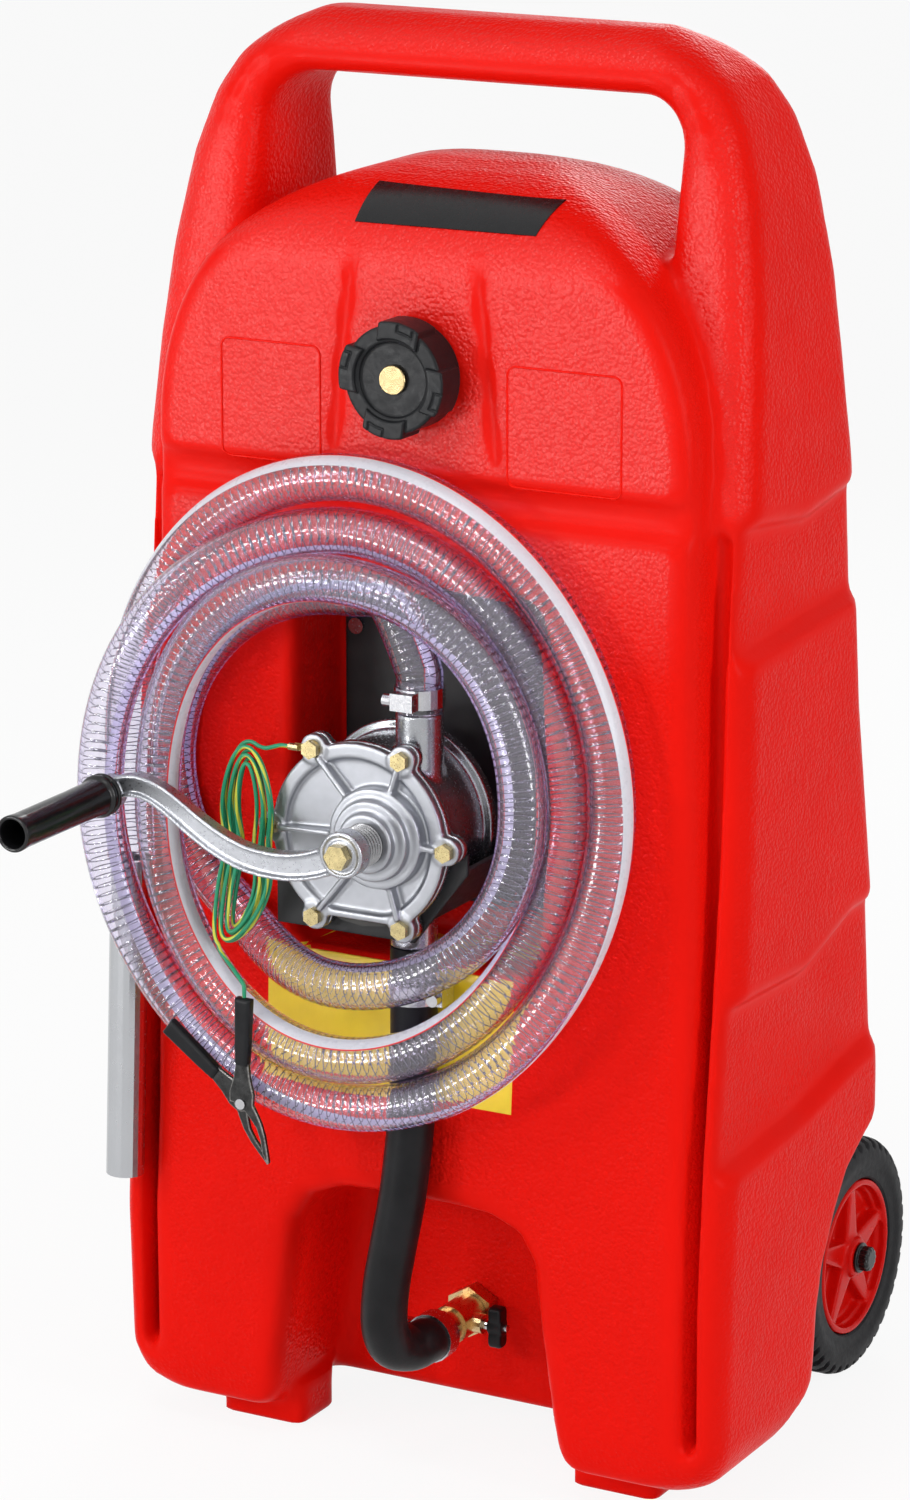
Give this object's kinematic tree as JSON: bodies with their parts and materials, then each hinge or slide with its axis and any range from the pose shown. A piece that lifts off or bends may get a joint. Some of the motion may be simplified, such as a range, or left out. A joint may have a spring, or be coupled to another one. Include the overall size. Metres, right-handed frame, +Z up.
{
  "type": "fuel_caddy",
  "caption": "Red rolling fuel tank with rear wheels, a hand crank rotary pump, a coiled clear hose, a black suction hose with valve, and an earth wire with clip",
  "frame": {"origin": "bottom centre of the bounding box of the caddy without its free hose and wire, on the ground", "axes": "+Z up, -Y to the front with the pump, +X to the right as seen from the front"},
  "size_m": [0.453, 0.5882, 0.954],
  "materials": {
    "tank_red": "blow-moulded polyethylene with a fine leather grain",
    "rim_red": "moulded, smooth",
    "black_plastic": "moulded, satin",
    "tyre_black": "moulded rubber, dull",
    "black_rubber": "smooth rubber, dull",
    "cast_aluminium": "die cast, painted silver grey",
    "drawn_aluminium": "drawn tube, satin",
    "bright_steel": "zinc plated",
    "yellow_brass": "machined or yellow zinc plated",
    "black_powder_coat": "powder coated steel",
    "clear_hose": "clear vinyl with a steel wire helix",
    "earth_jacket": "green and yellow wire insulation",
    "gasket_fibre": "fibre sheet"
  },
  "bodies": {
    "chassis": {"axle": "bright_steel", "axle_cap_left": "black_plastic", "axle_cap_right": "black_plastic", "bracket_screw_1": "bright_steel", "bracket_screw_2": "bright_steel", "bracket_screw_3": "bright_steel", "bracket_screw_4": "bright_steel", "clip_half_fixed": "black_plastic", "clip_rivet": "bright_steel", "cover_bolt_1": "yellow_brass", "cover_bolt_2": "yellow_brass", "cover_bolt_3": "yellow_brass", "cover_bolt_4": "yellow_brass", "cover_bolt_5": "yellow_brass", "cover_bolt_6": "yellow_brass", "cover_gasket": "gasket_fibre", "delivery_hose_coil": "clear_hose", "delivery_hose_drop": "clear_hose", "delivery_hose_rise": "clear_hose", "earth_lug": "yellow_brass", "earth_wire_hank": "earth_jacket", "earth_wire_lead": "earth_jacket", "earth_wire_tail": "earth_jacket", "gland_sleeve": "cast_aluminium", "inlet_clamp": "bright_steel", "inlet_clamp_screw": "bright_steel", "outlet_clamp": "bright_steel", "outlet_clamp_screw": "bright_steel", "outlet_fitting": "yellow_brass", "pump_bracket": "black_powder_coat", "pump_cover": "cast_aluminium", "pump_housing": "cast_aluminium", "shaft_seal": "black_rubber", "spout": "drawn_aluminium", "suction_hose": "black_rubber", "tank": "tank_red", "valve_body": "yellow_brass", "valve_clamp": "bright_steel", "valve_clamp_screw": "bright_steel"},
    "crank": {"crank_arm": "cast_aluminium", "crank_bolt": "yellow_brass", "grip_pin": "bright_steel", "pump_shaft": "bright_steel", "pump_rotor": "bright_steel", "rotor_vane_1": "black_plastic", "rotor_vane_2": "black_plastic"},
    "grip": {"crank_grip": "black_plastic"},
    "wheel_right": {"wheel_rim_right": "rim_red", "tyre_right": "tyre_black"},
    "wheel_left": {"wheel_rim_left": "rim_red", "tyre_left": "tyre_black"},
    "cap_seat": {"cap_gasket": "black_rubber"},
    "cap": {"fuel_cap": "black_plastic"},
    "vent": {"vent_screw": "yellow_brass"},
    "valve": {"valve_handle": "black_plastic", "valve_stem": "yellow_brass", "valve_ball": "bright_steel", "valve_handle_screw": "bright_steel"},
    "clip": {"clip_half_moving": "black_plastic"}
  },
  "joints": [
    {"name": "crank_turn", "type": "hinge", "parent": "chassis", "child": "crank", "pos_m": [0.0015, -0.18052, 0.4503], "axis": [0, -1, 0], "continuous": true},
    {"name": "grip_spin", "type": "hinge", "parent": "crank", "child": "grip", "pos_m": [-0.1743, -0.24052, 0.46674], "axis": [0, -1, 0], "continuous": true},
    {"name": "wheel_right_spin", "type": "hinge", "parent": "chassis", "child": "wheel_right", "pos_m": [0.164, 0.21048, 0.0836], "axis": [1, 0, 0], "continuous": true},
    {"name": "wheel_left_spin", "type": "hinge", "parent": "chassis", "child": "wheel_left", "pos_m": [-0.164, 0.21048, 0.0836], "axis": [1, 0, 0], "continuous": true},
    {"name": "cap_lift", "type": "slide", "parent": "chassis", "child": "cap_seat", "axis": [0, -1, 0], "range_m": [0, 0.0115]},
    {"name": "cap_turn", "type": "hinge", "parent": "cap_seat", "child": "cap", "pos_m": [0, -0.10552, 0.7414], "axis": [0, -1, 0], "range_deg": [0, 900]},
    {"name": "vent_turn", "type": "hinge", "parent": "cap", "child": "vent", "pos_m": [0, -0.11452, 0.7414], "axis": [0, -1, 0], "range_deg": [0, 720]},
    {"name": "valve_turn", "type": "hinge", "parent": "chassis", "child": "valve", "pos_m": [0.012, -0.03062, 0.086], "axis": [1, 0, 0], "range_deg": [0, 90]},
    {"name": "clip_open", "type": "hinge", "parent": "chassis", "child": "clip", "pos_m": [-0.0866, -0.16252, 0.2651], "axis": [0, 1, 0], "range_deg": [0, 25], "stiffness_Nm_per_rad": 0.3, "springref_deg": -22.92}
  ],
  "couplings": [
    {"joint": "cap_lift", "follows": "cap_turn", "m_per_rad": 0.00072}
  ]
}
